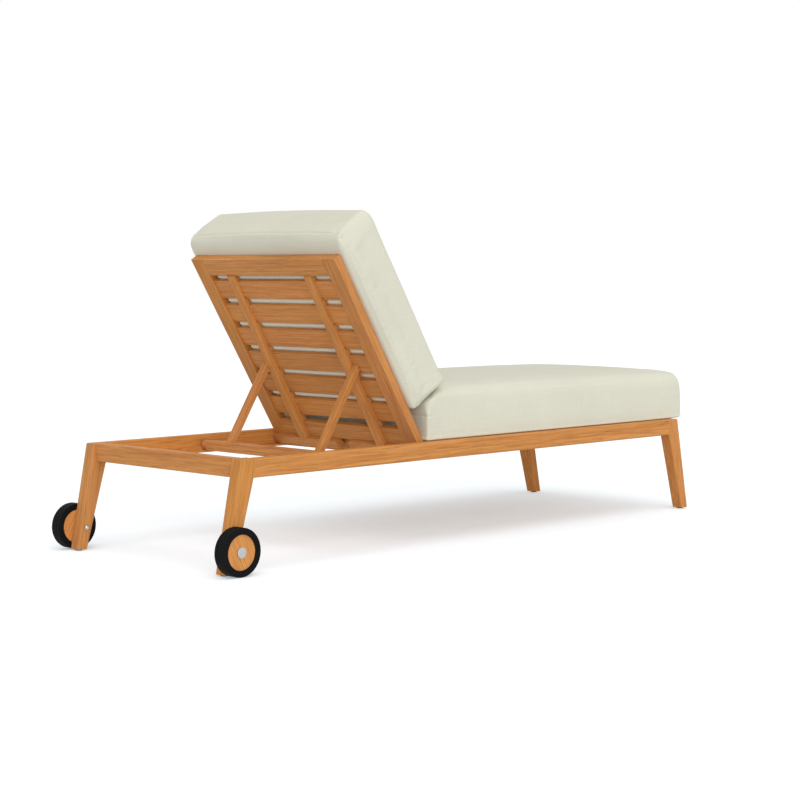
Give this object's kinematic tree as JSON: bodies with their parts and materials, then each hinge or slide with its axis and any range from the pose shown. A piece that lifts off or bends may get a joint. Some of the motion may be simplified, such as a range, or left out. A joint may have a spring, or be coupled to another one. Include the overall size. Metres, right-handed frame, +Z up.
{
  "type": "reclining chaise lounger",
  "caption": "Wooden sun lounger with a reclining slatted back on a folding prop, wheels at the head end and loose seat and back cushions.",
  "frame": {"origin": "on the floor, at the middle of the lounger's length and width over all", "axes": "+Z up, +Y towards the head end with the wheels, +X towards the sitter's left side"},
  "size_m": [0.8054, 2.1638, 1.0132],
  "materials": {
    "teak": "oiled satin teak",
    "wheel_teak": "oiled satin teak",
    "cushion_fabric": "woven outdoor canvas",
    "tyre_rubber": "matt rubber",
    "glide_plastic": "moulded",
    "bush_plastic": "moulded",
    "steel": "satin stainless"
  },
  "bodies": {
    "base": {"axle_bolts": "steel", "axle_nuts": "steel", "axle_spacers": "steel", "cross_rail": "teak", "foot_rail": "teak", "glides": "glide_plastic", "head_rail": "teak", "leg_foot_left": "teak", "leg_foot_right": "teak", "leg_head_left": "teak", "leg_head_right": "teak", "pivot_pins": "steel", "pivot_washers": "steel", "rack_left": "teak", "rack_right": "teak", "seat_cushion": "cushion_fabric", "seat_ledger_left": "teak", "seat_ledger_right": "teak", "seat_slat_1": "teak", "seat_slat_10": "teak", "seat_slat_11": "teak", "seat_slat_12": "teak", "seat_slat_2": "teak", "seat_slat_3": "teak", "seat_slat_4": "teak", "seat_slat_5": "teak", "seat_slat_6": "teak", "seat_slat_7": "teak", "seat_slat_8": "teak", "seat_slat_9": "teak", "side_rail_left": "teak", "side_rail_right": "teak"},
    "backrest": {"back_bottom_rail": "teak", "back_cushion": "cushion_fabric", "back_slat_1": "teak", "back_slat_2": "teak", "back_slat_3": "teak", "back_slat_4": "teak", "back_slat_5": "teak", "back_slat_6": "teak", "back_top_rail": "teak", "batten_left": "teak", "batten_right": "teak", "pivot_bar_left": "teak", "pivot_bar_right": "teak", "prop_bolts": "steel", "prop_nuts": "steel", "prop_washers": "steel", "stile_left": "teak", "stile_right": "teak"},
    "prop": {"crossbar": "teak", "prop_arm_left": "teak", "prop_arm_right": "teak", "prop_plugs": "teak"},
    "wheel_left": {"tyre_left": "tyre_rubber", "wheel_disc_left": "wheel_teak", "wheel_bush_left": "bush_plastic"},
    "wheel_right": {"tyre_right": "tyre_rubber", "wheel_disc_right": "wheel_teak", "wheel_bush_right": "bush_plastic"}
  },
  "joints": [
    {"name": "backrest_recline", "type": "hinge", "parent": "base", "child": "backrest", "pos_m": [0, 0.241, 0.2885], "axis": [1, 0, 0], "range_deg": [-54, 0]},
    {"name": "prop_fold", "type": "hinge", "parent": "backrest", "child": "prop", "pos_m": [0, 0.39622, 0.53661], "axis": [1, 0, 0], "range_deg": [0, 108]},
    {"name": "wheel_left_spin", "type": "hinge", "parent": "base", "child": "wheel_left", "pos_m": [-0.382, 1.0131, 0.0692], "axis": [1, 0, 0], "continuous": true},
    {"name": "wheel_right_spin", "type": "hinge", "parent": "base", "child": "wheel_right", "pos_m": [0.382, 1.0131, 0.0692], "axis": [1, 0, 0], "continuous": true}
  ],
  "couplings": [
    {"joint": "prop_fold", "follows": "backrest_recline", "ratio": -2}
  ]
}
